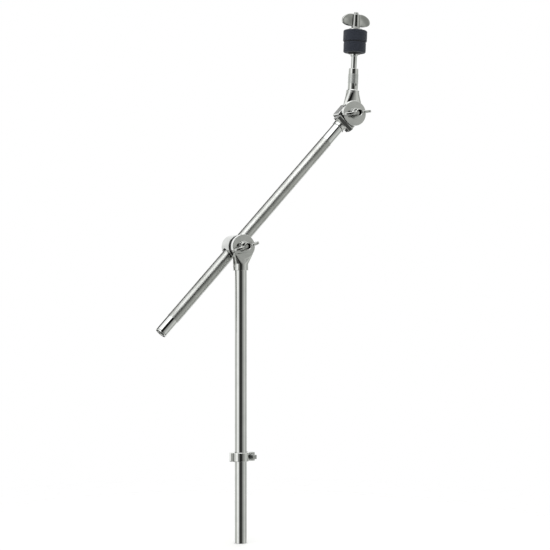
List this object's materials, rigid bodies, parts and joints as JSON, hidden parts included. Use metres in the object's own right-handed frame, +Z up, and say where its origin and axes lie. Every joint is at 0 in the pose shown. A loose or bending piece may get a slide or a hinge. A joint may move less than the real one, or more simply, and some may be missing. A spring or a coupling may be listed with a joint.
{
  "type": "cymbal boom stand upper section",
  "caption": "Upper boom section of a cymbal stand: straight post with memory lock, friction tilter clamping a knurled boom, and tilting cymbal rod with felts and wing nuts.",
  "frame": {"origin": "centre of the post's open bottom end, where it enters the stand's base tube", "axes": "+Z up along the post; +X is the way the boom leans; -Y is the front, which the tilters' wing nuts face"},
  "size_m": [0.3543, 0.0662, 0.814],
  "materials": {
    "chrome": "polished chrome plate on steel and die-cast zinc",
    "knurled_chrome": "fine diamond knurl under satin chrome",
    "zinc": "bright zinc-plated steel",
    "spring_steel": "drawn spring wire",
    "friction_fibre": "black pressed friction fibre",
    "nylon": "black moulded nylon",
    "felt": "dark pressed wool felt"
  },
  "bodies": {
    "post": {"post_tube": "chrome", "post_head": "chrome", "post_head_pin": "zinc"},
    "memory_lock": {"memory_lock_ring": "chrome", "memory_lock_nut": "zinc"},
    "lock_washer": {"memory_lock_washer": "zinc"},
    "lock_bolt": {"memory_lock_bolt": "zinc"},
    "boom_clamp": {"boom_barrel": "chrome", "eye_bolt": "zinc", "brake_ring": "friction_fibre", "tilter_spring": "spring_steel"},
    "tilter_seat": {"tilter_washer": "chrome"},
    "tilter_nut": {"tilter_wing_nut": "chrome"},
    "boom_liner": {"boom_bush": "nylon"},
    "boom": {"boom_tube": "knurled_chrome", "boom_end_cap": "zinc", "boom_head": "chrome", "boom_head_pin": "zinc", "cymbal_tilter_bolt": "zinc", "cymbal_brake_ring": "friction_fibre", "cymbal_tilter_spring": "spring_steel"},
    "cymbal_tilter_seat": {"cymbal_tilter_washer": "chrome"},
    "cymbal_tilter_nut": {"cymbal_tilter_wing_nut": "chrome"},
    "cymbal_holder": {"rod_head": "chrome", "rod_set_screw": "zinc", "cymbal_rod": "chrome", "cup_washer": "nylon", "cymbal_sleeve": "nylon", "lower_felt": "felt"},
    "top_seat": {"upper_felt": "felt", "top_washer": "chrome"},
    "top_nut": {"top_wing_nut": "chrome"}
  },
  "joints": [
    {"name": "memory_lock_slide", "type": "slide", "parent": "post", "child": "memory_lock", "axis": [0, 0, 1], "range_m": [-0.118, 0.265]},
    {"name": "lock_bolt_travel", "type": "slide", "parent": "memory_lock", "child": "lock_washer", "axis": [0, -1, 0], "range_m": [0, 0.002]},
    {"name": "lock_bolt_turn", "type": "hinge", "parent": "lock_washer", "child": "lock_bolt", "pos_m": [0.0166, 0, 0.1296], "axis": [0, -1, 0], "range_deg": [0, 720]},
    {"name": "boom_tilt", "type": "hinge", "parent": "post", "child": "boom_clamp", "pos_m": [0, 0, 0.4453], "axis": [0, -1, 0], "range_deg": [-76.95, 43.05]},
    {"name": "tilter_nut_travel", "type": "slide", "parent": "boom_clamp", "child": "tilter_seat", "axis": [0, -1, 0], "range_m": [0, 0.0025]},
    {"name": "tilter_nut_turn", "type": "hinge", "parent": "tilter_seat", "child": "tilter_nut", "pos_m": [0, -0.014, 0.4453], "axis": [0, -1, 0], "range_deg": [0, 720]},
    {"name": "boom_roll", "type": "hinge", "parent": "boom_clamp", "child": "boom_liner", "pos_m": [0, 0.0216, 0.4453], "axis": [0.6826, 0, 0.7308], "range_deg": [-180, 180]},
    {"name": "boom_slide", "type": "slide", "parent": "boom_liner", "child": "boom", "axis": [0.6826, 0, 0.7308], "range_m": [-0.215, 0.15]},
    {"name": "cymbal_nut_travel", "type": "slide", "parent": "boom", "child": "cymbal_tilter_seat", "axis": [0, -1, 0], "range_m": [0, 0.0025]},
    {"name": "cymbal_nut_turn", "type": "hinge", "parent": "cymbal_tilter_seat", "child": "cymbal_tilter_nut", "pos_m": [0.19537, 0.0007, 0.65444], "axis": [0, -1, 0], "range_deg": [0, 720]},
    {"name": "cymbal_tilt", "type": "hinge", "parent": "boom", "child": "cymbal_holder", "pos_m": [0.19537, 0.0067, 0.65444], "axis": [0, -1, 0], "range_deg": [-130, 55]},
    {"name": "top_nut_travel", "type": "slide", "parent": "cymbal_holder", "child": "top_seat", "axis": [0.0523, 0, 0.9986], "range_m": [0, 0.0075]},
    {"name": "top_nut_turn", "type": "hinge", "parent": "top_seat", "child": "top_nut", "pos_m": [0.20235, 0.0142, 0.78766], "axis": [0.0523, 0, 0.9986], "range_deg": [0, 2160]}
  ],
  "couplings": [
    {"joint": "lock_bolt_turn", "follows": "lock_bolt_travel", "rad_per_m": 6283.2},
    {"joint": "tilter_nut_travel", "follows": "tilter_nut_turn", "m_per_rad": 0.00019894},
    {"joint": "cymbal_nut_travel", "follows": "cymbal_nut_turn", "m_per_rad": 0.00019894},
    {"joint": "top_nut_travel", "follows": "top_nut_turn", "m_per_rad": 0.00019894}
  ]
}
